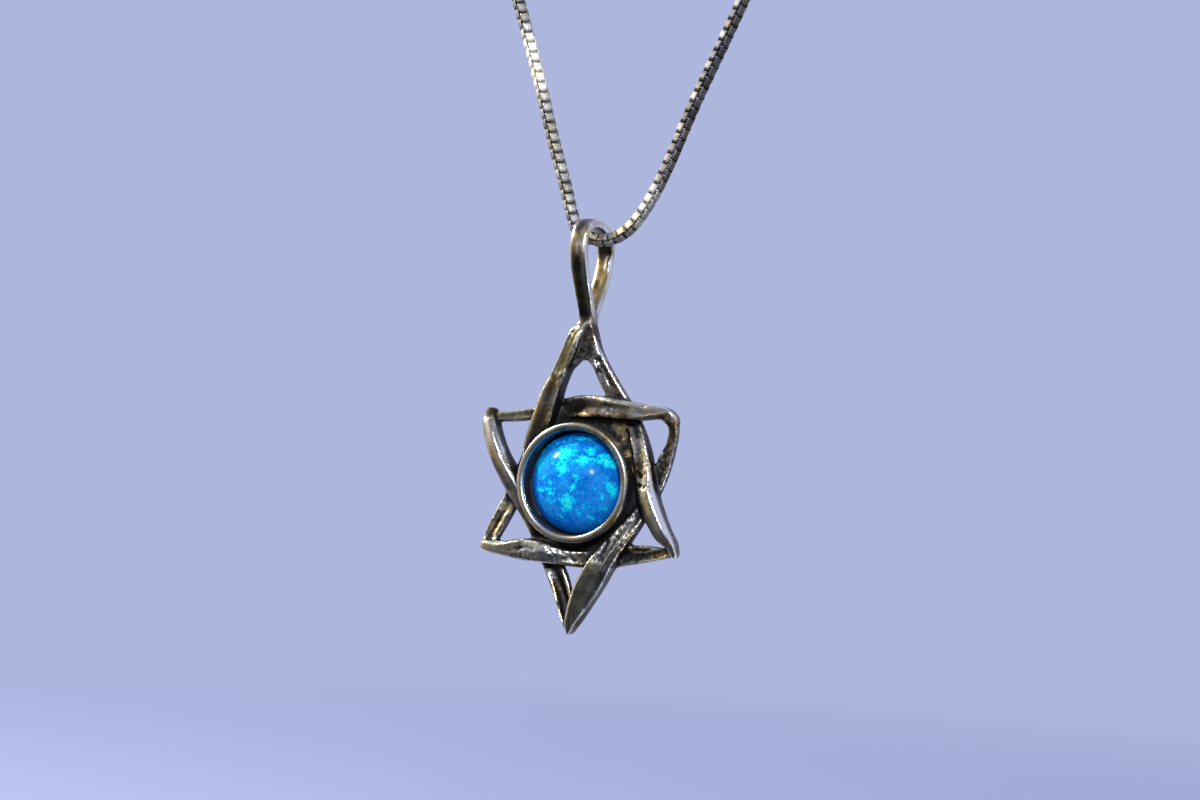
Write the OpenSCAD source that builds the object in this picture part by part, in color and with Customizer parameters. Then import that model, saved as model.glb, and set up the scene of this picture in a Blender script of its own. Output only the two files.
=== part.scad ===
// Star pendant with an opal, hanging on a fine box chain.
// Millimetres. The origin is where the loop of chain hangs, under the clasp. +Z is up, -Y is the front.

/* [Star] */
// Width of the star, between the middles of its left and right corners
star_w = 16; // [14:0.5:20]
// Height of the star, between the middles of its top and bottom corners
star_h = 24.6; // [22:0.2:30]
// Greatest width of a band
band_w = 2; // [1.6:0.1:2.4]
// Depth of a band from front to back, where it lies on top
band_d = 2.1; // [1.6:0.1:2.6]
// Thickness of the plate that closes the middle of the star
plate_t = 0.8; // [0.6:0.1:1.2]

/* [Setting] */
// Diameter of the opal
opal_d = 8; // [6:0.25:9]
// Height of the opal's dome above its straight edge
dome_h = 2.3; // [1.5:0.1:3]
// Height of the opal's straight edge
girdle_h = 0.4; // [0.2:0.1:0.8]
// Dark ring of air round the opal
ring_gap = 0.2; // [0.1:0.05:0.5]
// Thickness of the bezel's wall
bezel_wall = 0.6; // [0.4:0.05:0.7]
// Height of the bezel's rim above the floor of the cup
bezel_h = 1.85; // [1.2:0.05:2.4]
// Thickness of metal under the cup
floor_t = 0.65; // [0.4:0.05:1]

/* [Bail] */
// Height of the bail above the star's top corner
bail_h = 8.6; // [7:0.1:11]
// Depth of the bail's loop from front to back, outside
bail_d = 6.3; // [5:0.1:8]
// Width of the bail's strip at its top
bail_w = 1.5; // [1.2:0.05:1.8]
// Thickness of the bail's strip
bail_t = 0.8; // [0.6:0.05:1]

/* [Chain] */
// Thickness of the chain
chain_d = 1; // [0.7:0.05:1.2]
// Gap between the chain and the top of the bail
chain_gap = 0.3; // [0.1:0.05:0.5]

/* [Clasp] */
// Diameter of the clasp's ring, outside
clasp_d = 6; // [5:0.25:8]
// Thickness of the clasp's ring
clasp_wire = 1.1; // [0.8:0.05:1.4]
// Diameter of the clasp's eye, outside
eye_d = 2.8; // [2.4:0.1:4]
// Thickness of the wire of the clasp's eye
eye_wire = 0.6; // [0.4:0.05:0.8]
// Diameter of the ring at each end of the chain, outside
end_ring_d = 3; // [2.6:0.1:4.5]
// Thickness of the wire of those rings
end_ring_wire = 0.5; // [0.4:0.05:0.7]
// Gap between rings that hook into each other
link_gap = 0.1; // [0.05:0.05:0.2]

/* [Hidden] */

// Middle line of the chain between its two ends, down its left side, through the bail and up its
// right side: across, up
hang = [0, -187]; // where the bail hangs
route = [
    [-13, 0.3], [-25, -6], [-35.5, -15], [-43.5, -27], [-48.5, -41.5], [-49, -57], [-44, -76],
    [-36, -97], [-27.5, -118.5], [-19.5, -138.5], [-12.8, -155], [-8.4, -166], [-6, -172.6],
    [-4.2, -178.3], [-2.8, -182.3], [-1.9, -185.1], [-1.2, -186.5], hang, [1.2, -187.1],
    [2.4, -186.7], [3.5, -185.8], [4.8, -183.9], [6.2, -181], [8.2, -176], [11.2, -169.2],
    [15.5, -159], [21.5, -144], [29, -124], [36.5, -102], [43.5, -79], [48.3, -58], [48.5, -41.5],
    [43.5, -27], [35.5, -15], [25, -6], [13, 0.3]
];

// Corners of the star, as shares of half its width and half its height: across, up
TOP = [0.01, 1.03];
UPPER_LEFT = [-0.95, 0.43];
UPPER_RIGHT = [0.99, 0.46];
LOWER_LEFT = [-0.95, -0.45];
LOWER_RIGHT = [1.02, -0.42];
BOTTOM = [0.02, -0.97];

// Each band runs from the corner where it lies on top to the corner where it dives under.
// along: share of the way between its corners. side: how far its middle lies to the left of the
// straight way, and width: both shares of band_w. front: how far its face stands before the back
// of the star, and thick: its own depth, both shares of band_d.
//    along   side  width  front  thick
up_left = [
    [0.00, -0.17, 0.30, 0.78, 0.70],
    [0.04, -0.20, 0.52, 0.92, 0.84],
    [0.11, -0.16, 0.60, 1.00, 0.90],
    [0.18, -0.15, 0.60, 0.98, 0.88],
    [0.25, -0.15, 0.66, 0.97, 0.86],
    [0.32, -0.14, 0.84, 1.00, 0.88],
    [0.39, -0.05, 0.90, 1.00, 0.95],
    [0.46, 0.00, 0.95, 0.94, 0.94],
    [0.54, 0.05, 0.90, 0.82, 0.82],
    [0.62, 0.09, 0.76, 0.62, 0.62],
    [0.70, 0.05, 0.72, 0.50, 0.50],
    [0.79, 0.00, 0.72, 0.52, 0.50],
    [0.89, -0.05, 0.70, 0.58, 0.48],
    [1.00, -0.06, 0.54, 0.66, 0.48]
];
down_bar = [
    [-0.01, 0.32, 0.30, 0.76, 0.50],
    [0.00, 0.14, 0.42, 0.84, 0.60],
    [0.035, -0.06, 0.48, 0.90, 0.72],
    [0.09, -0.12, 0.54, 0.95, 0.84],
    [0.17, -0.14, 0.67, 1.00, 0.90],
    [0.26, -0.20, 0.74, 1.00, 0.95],
    [0.35, -0.28, 0.85, 0.96, 0.96],
    [0.44, -0.33, 0.92, 0.85, 0.85],
    [0.53, -0.33, 0.90, 0.68, 0.68],
    [0.62, -0.24, 0.78, 0.50, 0.50],
    [0.70, -0.10, 0.58, 0.48, 0.46],
    [0.79, -0.02, 0.50, 0.54, 0.44],
    [0.89, 0.09, 0.46, 0.60, 0.44],
    [1.00, 0.12, 0.42, 0.66, 0.46]
];
down_left = [
    [-0.03, -0.06, 0.26, 0.70, 0.50],
    [-0.01, -0.16, 0.48, 0.80, 0.62],
    [0.03, -0.30, 0.64, 0.92, 0.78],
    [0.10, -0.41, 0.70, 1.00, 0.88],
    [0.18, -0.42, 0.74, 1.00, 0.94],
    [0.27, -0.33, 0.82, 0.98, 0.98],
    [0.36, -0.22, 0.80, 0.86, 0.86],
    [0.44, -0.10, 0.74, 0.74, 0.74],
    [0.52, -0.02, 0.70, 0.60, 0.60],
    [0.60, 0.06, 0.72, 0.48, 0.48],
    [0.68, 0.10, 0.80, 0.48, 0.48],
    [0.76, 0.16, 0.84, 0.54, 0.52],
    [0.84, 0.15, 0.76, 0.58, 0.54],
    [0.91, 0.06, 0.66, 0.60, 0.56],
    [0.96, -0.03, 0.46, 0.62, 0.56],
    [1.00, 0.00, 0.26, 0.62, 0.50]
];
up_base = [
    [-0.03, 0.06, 0.34, 0.80, 0.50],
    [0.02, 0.01, 0.50, 0.88, 0.66],
    [0.10, -0.05, 0.60, 0.95, 0.80],
    [0.17, -0.05, 0.80, 1.00, 0.90],
    [0.25, -0.07, 0.90, 1.00, 0.95],
    [0.33, -0.14, 0.84, 1.00, 1.00],
    [0.41, -0.27, 0.70, 0.90, 0.90],
    [0.50, -0.34, 0.68, 0.74, 0.74],
    [0.58, -0.33, 0.72, 0.56, 0.56],
    [0.66, -0.25, 0.80, 0.46, 0.46],
    [0.75, -0.14, 0.84, 0.50, 0.50],
    [0.84, -0.06, 0.72, 0.56, 0.50],
    [0.93, 0.00, 0.54, 0.62, 0.50],
    [1.00, 0.00, 0.34, 0.68, 0.48]
];
down_right = [
    [-0.01, 0.04, 0.12, 0.74, 0.50],
    [0.03, 0.10, 0.42, 0.92, 0.80],
    [0.09, 0.11, 0.66, 0.98, 0.92],
    [0.16, 0.12, 0.88, 1.00, 0.96],
    [0.23, 0.10, 1.00, 1.00, 1.00],
    [0.30, 0.05, 0.98, 1.00, 1.00],
    [0.37, -0.05, 0.88, 0.97, 0.97],
    [0.45, -0.20, 0.78, 0.88, 0.88],
    [0.52, -0.34, 0.68, 0.74, 0.74],
    [0.59, -0.45, 0.60, 0.56, 0.56],
    [0.67, -0.46, 0.66, 0.46, 0.46],
    [0.75, -0.45, 0.66, 0.48, 0.48],
    [0.82, -0.40, 0.60, 0.52, 0.46],
    [0.88, -0.37, 0.44, 0.56, 0.44],
    [0.94, -0.26, 0.38, 0.62, 0.42],
    [1.00, 0.00, 0.32, 0.68, 0.42]
];
up_right = [
    [-0.025, -0.20, 0.22, 0.76, 0.50],
    [0.03, -0.22, 0.44, 0.90, 0.76],
    [0.08, -0.06, 0.64, 1.00, 0.90],
    [0.13, 0.02, 0.76, 1.00, 0.94],
    [0.19, 0.05, 0.82, 1.00, 0.98],
    [0.26, -0.02, 0.78, 1.00, 1.00],
    [0.33, -0.17, 0.70, 0.96, 0.96],
    [0.40, -0.32, 0.68, 0.86, 0.86],
    [0.47, -0.38, 0.66, 0.72, 0.72],
    [0.54, -0.38, 0.60, 0.54, 0.54],
    [0.62, -0.24, 0.66, 0.46, 0.46],
    [0.70, -0.06, 0.72, 0.54, 0.54],
    [0.78, 0.05, 0.68, 0.62, 0.58],
    [0.86, 0.09, 0.58, 0.70, 0.62],
    [0.94, 0.06, 0.48, 0.76, 0.66],
    [1.00, 0.00, 0.34, 0.78, 0.66]
];
BANDS = [
    [TOP, LOWER_LEFT, up_left],
    [LOWER_LEFT, LOWER_RIGHT, up_base],
    [LOWER_RIGHT, TOP, up_right],
    [UPPER_RIGHT, UPPER_LEFT, down_bar],
    [UPPER_LEFT, BOTTOM, down_left],
    [BOTTOM, UPPER_RIGHT, down_right]
];

// Front half of the bail's strip from its foot to its top. rise: share of the middle line's height.
// out: share of its half depth. width: share of bail_w.
//   rise   out  width
BAIL = [
    [0.00, 0.04, 0.80],
    [0.12, 0.17, 0.84],
    [0.22, 0.33, 0.88],
    [0.32, 0.50, 0.92],
    [0.42, 0.68, 0.94],
    [0.52, 0.84, 0.95],
    [0.63, 0.95, 0.95],
    [0.75, 1.00, 0.95],
    [0.86, 0.93, 0.96],
    [0.94, 0.72, 0.98],
    [0.985, 0.38, 0.98]
];

sides = 12; // points round a band's or the bail's outline
softness = 0.62; // 1 is a true oval, less is squarer
chain_sides = 8;
steps = 2; // rings for each stretch of the route
back_share = 0.43; // share of a band's depth that lies behind the chain
APEX_WEB = [[-0.13, 0.84], [0.14, 0.84]]; // where the web of the top corner ends, as corners
web_r = 0.3; // radius of a web's end, as a share of band_w
web_front = 0.7; // how far the web's face stands before the star's back, as a share of band_d
web_t = 0.5; // the web's thickness, as a share of band_d
foot_r = 0.3; // radius of the bail's foot where it meets the corner, as a share of band_w
foot_top_r = 0.4; // its radius where the strands part, as a share of the strip's width there
foot_front = 0.8; // how far the foot's face stands before the star's back, as a share of band_d
foot_t = 0.72; // the foot's thickness, as a share of band_d
rim_round = 0.12; // how far the rim's edges are rounded off
plate_edge = 0.8; // how far the plate reaches past the bezel
overlap = 0.1; // how deep soldered pieces run into each other
seat_gap = 0.03; // clearance under the opal

back_y = back_share * band_d;
floor_y = back_y - floor_t;
cup_r = opal_d / 2 + ring_gap;
bezel_r = cup_r + bezel_wall;
top_z = star_h / 2 * TOP[1];
bail_mid_h = bail_h - bail_t / 2;
bail_mid_out = (bail_d - bail_t) / 2;
star_z = hang[1] + chain_d / 2 + chain_gap + bail_t - bail_h - top_z;
clasp_z = end_ring_d / 2; // the end rings just touch the level of the origin

// Places along the line of the clasp: its eye from the middle of its ring, then all from the origin
eye_x = (eye_wire - clasp_d - eye_d) / 2;
function hooked(d1, wire1, d2, wire2) = (d1 + d2) / 2 - wire1 - wire2 - link_gap;
eye_reach = hooked(eye_d, eye_wire, end_ring_d, end_ring_wire);
ring_reach = hooked(clasp_d, clasp_wire, end_ring_d, end_ring_wire);
clasp_x = (eye_reach - ring_reach - eye_x) / 2;
left_x = clasp_x + eye_x - eye_reach;
right_x = clasp_x + ring_reach;
chain_end = end_ring_d / 2 + link_gap; // from the middle of an end ring to the end of the chain

function corner(share) = [share[0] * star_w / 2, share[1] * star_h / 2];
function across(v) = [-v[1], v[0]] / norm(v);

// Where the line from a to b crosses the line from c to d
function crossing(a, b, c, d) =
    let (ab = b - a, cd = d - c, s = cross(c - a, cd) / cross(ab, cd))
    a + s * ab;

// Outline of a strip w wide and d deep, rounded at its corners
function soft(x) = sign(x) * pow(abs(x), softness);
function strip(w, d) =
    [for (i = [0 : sides - 1]) let (a = 360 * i / sides) [w / 2 * soft(cos(a)), d / 2 * soft(sin(a))]];

// Direction of a path at each of its points
function heading(path, i) = path[min(i + 1, len(path) - 1)] - path[max(i - 1, 0)];

// A solid skin over rings of points, closed at both ends
module skin(rings) {
    n = len(rings[0]);
    m = len(rings);
    points = [for (ring = rings) each ring];
    walls = [for (k = [0 : m - 2], i = [0 : n - 1]) let (j = (i + 1) % n)
        [k * n + i, k * n + j, (k + 1) * n + j, (k + 1) * n + i]];
    caps = [[for (i = [n - 1 : -1 : 0]) i], [for (i = [0 : n - 1]) (m - 1) * n + i]];
    polyhedron(points, concat(walls, caps), convexity = 8);
}

// One band of the star
module band(from, to, rows) {
    a = corner(from);
    b = corner(to);
    left = across(b - a);
    path = [for (r = rows) a + r[0] * (b - a) + r[1] * band_w * left];
    skin([for (i = [0 : len(rows) - 1])
        let (r = rows[i], out = across(heading(path, i)), mid_y = back_y - (r[3] - r[4] / 2) * band_d)
        [for (p = strip(r[2] * band_w, r[4] * band_d))
            [path[i][0] + p[0] * out[0], mid_y + p[1], path[i][1] + p[0] * out[1]]]]);
}

// The loop at the top, a strip bent round the chain from the front of the star to its back
module bail() {
    front = [for (r = BAIL) [-r[1] * bail_mid_out, top_z + r[0] * bail_mid_h, r[2] * bail_w]];
    back = [for (i = [len(BAIL) - 1 : -1 : 0]) [-front[i][0], front[i][1], front[i][2]]];
    rows = concat(front, [[0, top_z + bail_mid_h, bail_w]], back);
    path = [for (r = rows) [r[0], r[1]]];
    x = corner(TOP)[0];
    skin([for (i = [0 : len(rows) - 1])
        let (at = path[i], out = across(heading(path, i)))
        [for (p = strip(rows[i][2], bail_t)) [x + p[0], at[0] + p[1] * out[0], at[1] + p[1] * out[1]]]]);
}

// A round disc at a place given across and up. front and thick are shares of band_d, as in a band's rows
module disc(at, r, front, thick) {
    translate([at[0], back_y - (front - thick) * band_d, at[1]]) rotate([90, 0, 0])
        cylinder(r = r, h = thick * band_d, $fn = 24);
}

// The plate behind the setting, drawn out to each crossing of the bands and let in from their backs
module plate() {
    translate([0, back_y - overlap, 0]) rotate([90, 0, 0]) linear_extrude(plate_t)
        for (i = [0 : 2], j = [3 : 5]) {
            up = BANDS[i];
            down = BANDS[j];
            at = crossing(corner(up[0]), corner(up[1]), corner(down[0]), corner(down[1]));
            // leaves out the three crossings that would lie beyond the corners
            if (norm(at) < star_h / 3)
                hull() {
                    circle(r = bezel_r + plate_edge, $fn = 48);
                    translate(at) circle(r = web_r * band_w, $fn = 16);
                }
        }
}

// The web that fills the star's top corner, and the foot where both strands of the bail meet on it
module apex() {
    at_top = corner(TOP);
    hull() {
        disc(at_top, foot_r * band_w, foot_front, foot_t);
        for (share = APEX_WEB) disc(corner(share), web_r * band_w / 2, web_front, web_t);
    }
    hull() {
        disc(at_top, foot_r * band_w, foot_front, foot_t);
        disc(at_top + [0, BAIL[1][0] * bail_mid_h], foot_top_r * BAIL[1][2] * bail_w, foot_front, foot_t);
    }
}

// The cup that holds the opal
module bezel() {
    rim_y = floor_y - bezel_h;
    foot_y = back_y - 2 * overlap;
    rotate([-90, 0, 0]) rotate_extrude($fn = 48)
        polygon([
            [0, floor_y], [cup_r, floor_y], [cup_r, rim_y + rim_round], [cup_r + rim_round, rim_y],
            [bezel_r - rim_round, rim_y], [bezel_r, rim_y + rim_round], [bezel_r, foot_y], [0, foot_y]
        ]);
}

module star_frame() {
    translate([0, 0, star_z]) color([0.42, 0.39, 0.35]) union() {
        difference() {
            union() {
                for (b = BANDS) band(b[0], b[1], b[2]);
                plate();
                apex();
            }
            translate([0, floor_y + overlap, 0]) rotate([90, 0, 0])
                cylinder(r = cup_r + bezel_wall / 2, h = bezel_h + band_d, $fn = 48);
        }
        bezel();
        bail();
    }
}

module opal() {
    ball_r = (pow(opal_d / 2, 2) + pow(dome_h, 2)) / (2 * dome_h);
    color([0.05, 0.4, 0.85])
        translate([0, floor_y - seat_gap, star_z]) rotate([90, 0, 0]) intersection() {
            cylinder(d = opal_d, h = girdle_h + dome_h, $fn = 96);
            translate([0, 0, girdle_h + dome_h - ball_r]) sphere(r = ball_r, $fn = 96);
        }
}

// Point at share t of the smooth curve from b to c, past a and towards d
function curve(a, b, c, d, t) =
    (2 * b + (c - a) * t + (2 * a - 5 * b + 4 * c - d) * t * t + (3 * b - a - 3 * c + d) * t * t * t) / 2;
function smooth(points) = let (end = len(points) - 1) [
    for (i = [0 : end - 1], k = [0 : steps - 1])
        curve(points[max(i - 1, 0)], points[i], points[i + 1], points[min(i + 2, end)], k / steps),
    points[end]
];

module chain() {
    path = smooth(concat([[left_x - chain_end, clasp_z]], route, [[right_x + chain_end, clasp_z]]));
    color([0.75, 0.74, 0.7]) skin([for (i = [0 : len(path) - 1])
        let (out = across(heading(path, i)))
        [for (k = [0 : chain_sides - 1])
            let (a = 360 * (k + 0.5) / chain_sides, u = chain_d / 2 * cos(a), v = chain_d / 2 * sin(a))
            [path[i][0] + u * out[0], v, path[i][1] + u * out[1]]]]);
}

module wire_ring(d, wire) {
    rotate_extrude($fn = 48) translate([(d - wire) / 2, 0]) circle(d = wire, $fn = 24);
}

module clasp() {
    color([0.75, 0.74, 0.7]) translate([clasp_x, 0, clasp_z]) {
        wire_ring(clasp_d, clasp_wire);
        translate([eye_x, 0, 0]) wire_ring(eye_d, eye_wire);
    }
}

module end_ring(x) {
    color([0.75, 0.74, 0.7]) translate([x, 0, clasp_z]) rotate([90, 0, 0])
        wire_ring(end_ring_d, end_ring_wire);
}

star_frame();
opal();
chain();
clasp();
end_ring(left_x);  // end_ring_left
end_ring(right_x);  // end_ring_right
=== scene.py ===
"""Star pendant with an opal on a fine box chain: the looks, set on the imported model's frame."""
import math
import bpy
import bmesh
import numpy as np
from mathutils import Matrix, Vector, bvhtree, kdtree, noise


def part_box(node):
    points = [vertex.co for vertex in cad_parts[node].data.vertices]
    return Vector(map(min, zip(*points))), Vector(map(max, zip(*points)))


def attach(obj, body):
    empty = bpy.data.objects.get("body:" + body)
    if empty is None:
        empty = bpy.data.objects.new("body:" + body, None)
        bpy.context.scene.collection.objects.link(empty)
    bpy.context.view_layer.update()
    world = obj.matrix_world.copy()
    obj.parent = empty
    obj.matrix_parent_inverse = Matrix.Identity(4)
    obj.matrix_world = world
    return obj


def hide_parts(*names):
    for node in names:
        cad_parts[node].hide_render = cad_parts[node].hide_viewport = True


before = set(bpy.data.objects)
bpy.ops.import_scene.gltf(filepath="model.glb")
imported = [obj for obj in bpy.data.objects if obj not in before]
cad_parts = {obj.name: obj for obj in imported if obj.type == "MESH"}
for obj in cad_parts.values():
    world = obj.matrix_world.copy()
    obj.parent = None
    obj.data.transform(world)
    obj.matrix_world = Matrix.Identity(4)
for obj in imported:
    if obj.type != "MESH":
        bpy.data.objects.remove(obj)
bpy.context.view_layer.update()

# Camera. It looks at the star's front from its right side and from just below, and the picture is
# rolled, so that the pendant leans to the right in it. Its place is tied to the middle of the opal.
mm = 0.001
photo_size = (1200, 800)
opal_px = (578.5, 483)
px_per_mm = 12.5
camera_distance = 150 * mm
camera_turn = math.radians(23)
camera_rise = math.radians(-2.53)
camera_roll = math.radians(3.3)
sensor = 36
opal_low, opal_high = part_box("opal")
star_at = Vector((0, 0, (opal_low[2] + opal_high[2]) / 2))
back = Vector((
    math.sin(camera_turn) * math.cos(camera_rise),
    -math.cos(camera_turn) * math.cos(camera_rise),
    math.sin(camera_rise),
))
level = (-back).cross(Vector((0, 0, 1))).normalized()
upright = level.cross(-back)
right = level * math.cos(camera_roll) + upright * math.sin(camera_roll)
up = upright * math.cos(camera_roll) - level * math.sin(camera_roll)
camera = bpy.data.objects.new("camera", bpy.data.cameras.new("camera"))
camera.data.sensor_width = sensor
camera.data.lens = sensor * px_per_mm * camera_distance / mm / photo_size[0]
camera.data.clip_start = mm
aside = (photo_size[0] / 2 - opal_px[0]) / px_per_mm * mm
above = (opal_px[1] - photo_size[1] / 2) / px_per_mm * mm
camera.matrix_world = Matrix.Translation(
    star_at + right * aside + up * above + back * camera_distance
) @ Matrix((right, up, back)).transposed().to_4x4()
bpy.context.collection.objects.link(camera)
bpy.context.scene.camera = camera

# Studio. A plain pale floor stands well below the hanging pendant and fades out at its rim, and the
# air behind is as pale. Soft lamps stand round the front, and the room that the silver mirrors is
# dark before the star and pale behind it.
floor_z = -0.262
floor_r = 0.4
floor_sides = 96
pale = (0.42, 0.47, 0.72, 1)


def add(tree, kind, inputs=(), **settings):
    """A node of a shader tree. inputs gives sockets a value each, or the output that feeds them."""
    made = tree.nodes.new("ShaderNode" + kind)
    for name, value in settings.items():
        setattr(made, name, value)
    for name, value in dict(inputs).items():
        if isinstance(value, bpy.types.NodeSocket):
            tree.links.new(value, made.inputs[name])
        else:
            made.inputs[name].default_value = value
    return made


def maths(tree, operation, *values):
    return add(tree, "Math", enumerate(values), operation=operation).outputs[0]


def spread(tree, value, low, high, to_low=0.0, to_high=1.0):
    """value, drawn from between low and high out to between two other numbers, and held there."""
    return add(tree, "MapRange", enumerate((value, low, high, to_low, to_high))).outputs[0]


def ramp(tree, value, *stops):
    """A colour for value between 0 and 1, from stops of (place, red, green, blue)."""
    made = add(tree, "ValToRGB", {0: value})
    elements = made.color_ramp.elements
    while len(elements) < len(stops):
        elements.new(1)
    for element, (place, *colour) in zip(elements, stops):
        element.position = place
        element.color = (*colour, 1)
    return made.outputs[0]


def mix(tree, share, first, second, blend="MIX"):
    made = add(tree, "Mix", {0: share, 6: first, 7: second}, data_type="RGBA", blend_type=blend)
    return made.outputs[2]


def new_material(name):
    """An empty material, its tree and its Principled shader."""
    material = bpy.data.materials.new(name)
    material.use_nodes = True
    tree = material.node_tree
    return material, tree, tree.nodes["Principled BSDF"]


def circle(r, sides):
    """Points round a circle, across and up."""
    turns = [2 * math.pi * i / sides for i in range(sides)]
    return [(r * math.cos(a), r * math.sin(a)) for a in turns]


def new_piece(name, points, faces, material, smooth=True):
    mesh = bpy.data.meshes.new(name)
    mesh.from_pydata(points, [], faces)
    mesh.update()
    if smooth:
        mesh.shade_smooth()
    piece = bpy.data.objects.new(name, mesh)
    bpy.context.collection.objects.link(piece)
    mesh.materials.append(material)
    return piece


floor_paint, tree, shader = new_material("floor paint")
shader.inputs["Base Color"].default_value = (0.2, 0.23, 0.36, 1)
shader.inputs["Roughness"].default_value = 0.9
shader.inputs["Specular IOR Level"].default_value = 0
place = add(tree, "TexCoord").outputs["Object"]
far = add(tree, "VectorMath", {0: place}, operation="LENGTH").outputs["Value"]
tree.links.new(spread(tree, far, floor_r * 0.25, floor_r * 0.95, 1, 0), shader.inputs["Alpha"])
floor_edge = [(x, y, 0) for x, y in circle(floor_r, floor_sides)]
floor = new_piece("floor", floor_edge, [range(floor_sides)], floor_paint)
floor.location.z = floor_z
floor.visible_glossy = False

world = bpy.data.worlds.new("studio")
bpy.context.scene.world = world
world.use_nodes = True
tree = world.node_tree
direction = add(tree, "TexCoord").outputs["Generated"]
parts = add(tree, "SeparateXYZ", {0: direction})
sideways = spread(tree, parts.outputs[0], -1, 1)
room = ramp(
    tree, sideways,
    (0.0, 0.42, 0.35, 0.23), (0.12, 0.3, 0.26, 0.19), (0.26, 0.12, 0.126, 0.14),
    (0.42, 0.08, 0.087, 0.105), (0.55, 0.028, 0.031, 0.04), (0.78, 0.035, 0.039, 0.05),
    (0.9, 0.13, 0.14, 0.19), (1.0, 0.5, 0.53, 0.68),
)
high = spread(tree, parts.outputs[2], -0.3, 0.35, 0.6, 2.3)
ahead = mix(tree, 1, room, high, blend="MULTIPLY")
rear = spread(tree, parts.outputs[1], -0.1, 0.45)
mirrored = mix(tree, rear, ahead, (0.5, 0.53, 0.74, 1))
glossy = add(tree, "LightPath").outputs["Is Glossy Ray"]
background = tree.nodes["Background"]
tree.links.new(mix(tree, glossy, pale, mirrored), background.inputs["Color"])


def lamp(name, towards, distance, size, energy, colour):
    """A round soft lamp. towards is where it stands from the opal: right, up and to the camera."""
    out = (right * towards[0] + up * towards[1] + back * towards[2]).normalized()
    light = bpy.data.lights.new(name, "AREA")
    light.shape = "DISK"
    light.size = size
    light.energy = energy
    light.color = colour
    made = bpy.data.objects.new(name, light)
    made.location = star_at + out * distance
    made.rotation_euler = out.to_track_quat("Z", "Y").to_euler()
    bpy.context.collection.objects.link(made)


lamp("warm lamp", (-0.74, 0.65, -0.155), 0.5, 0.08, 6.3, (1, 0.94, 0.84))
lamp("cool lamp", (0.1, 0.437, 0.893), 0.6, 0.07, 5, (0.93, 0.96, 1))
lamp("low lamp", (0.7, -0.6, 0.3), 0.6, 0.2, 0.5, (0.85, 0.88, 1))
bpy.context.scene.view_settings.view_transform = "Standard"

# Star and bail. One casting in silver: six flat bands woven over and under each other, a plate let
# in behind them, and a strip bent into the bail and soldered to the top corner. It is blackened all
# over and rubbed bright again, so its hollows stay black, and painted highlights and painted shade
# are laid over that.
star_w = 16
star_h = 24.6
band_w = 2
band_d = 2.1
plate_t = 0.8
bail_h = 8.6
bail_d = 6.3
bail_w = 1.5
bail_t = 0.8
back_y = 0.43 * band_d
plate_y = back_y - 0.1
foot_front = back_y - 0.8 * band_d
foot_rear = back_y - 0.08 * band_d
bezel_r = 4.8
bezel_wall = 0.6
floor_y = back_y - 0.65
cup_h = 1.85
bore_h = 6
grain = 0.092
steps_between = 6
band_sides = 36

TOP = (0.01, 1.03)
UPPER_LEFT = (-0.95, 0.43)
UPPER_RIGHT = (0.99, 0.46)
LOWER_LEFT = (-0.95, -0.45)
LOWER_RIGHT = (1.02, -0.42)
BOTTOM = (0.02, -0.97)

# Each band runs from the corner where it lies on top to the corner where it dives under. along:
# share of the way. side: how far it lies to the left of the straight way, and width, both shares of
# band_w. front, thick, lean and dish are shares of band_d: where its face stands, its own depth,
# how far its left edge stands before its right one, and the groove down its face. pits: how rough
# it is.
#    along side width front thick lean dish pits
up_left = [
    (0.00, -0.17, 0.30, 0.78, 0.70, 0.00, 0.05, 0.30),
    (0.04, -0.20, 0.52, 0.92, 0.84, 0.00, 0.04, 0.40),
    (0.11, -0.16, 0.60, 1.00, 0.90, 0.00, 0.06, 0.40),
    (0.18, -0.15, 0.60, 0.98, 0.88, 0.00, 0.06, 0.40),
    (0.25, -0.15, 0.66, 0.97, 0.86, 0.00, 0.06, 0.35),
    (0.32, -0.14, 0.84, 1.00, 0.88, 0.00, 0.08, 0.25),
    (0.39, -0.05, 0.90, 1.00, 0.95, 0.00, 0.06, 0.30),
    (0.46, 0.00, 0.95, 0.94, 0.94, 0.00, 0.06, 0.30),
    (0.54, 0.05, 0.90, 0.82, 0.82, 0.00, 0.10, 0.40),
    (0.62, 0.09, 0.76, 0.62, 0.62, 0.00, 0.10, 0.40),
    (0.70, 0.05, 0.72, 0.50, 0.50, 0.00, 0.10, 0.40),
    (0.79, 0.00, 0.72, 0.52, 0.50, 0.00, 0.12, 0.40),
    (0.89, -0.05, 0.70, 0.58, 0.48, 0.00, 0.12, 0.50),
    (1.00, -0.06, 0.54, 0.66, 0.48, 0.00, 0.08, 0.30),
]
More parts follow.
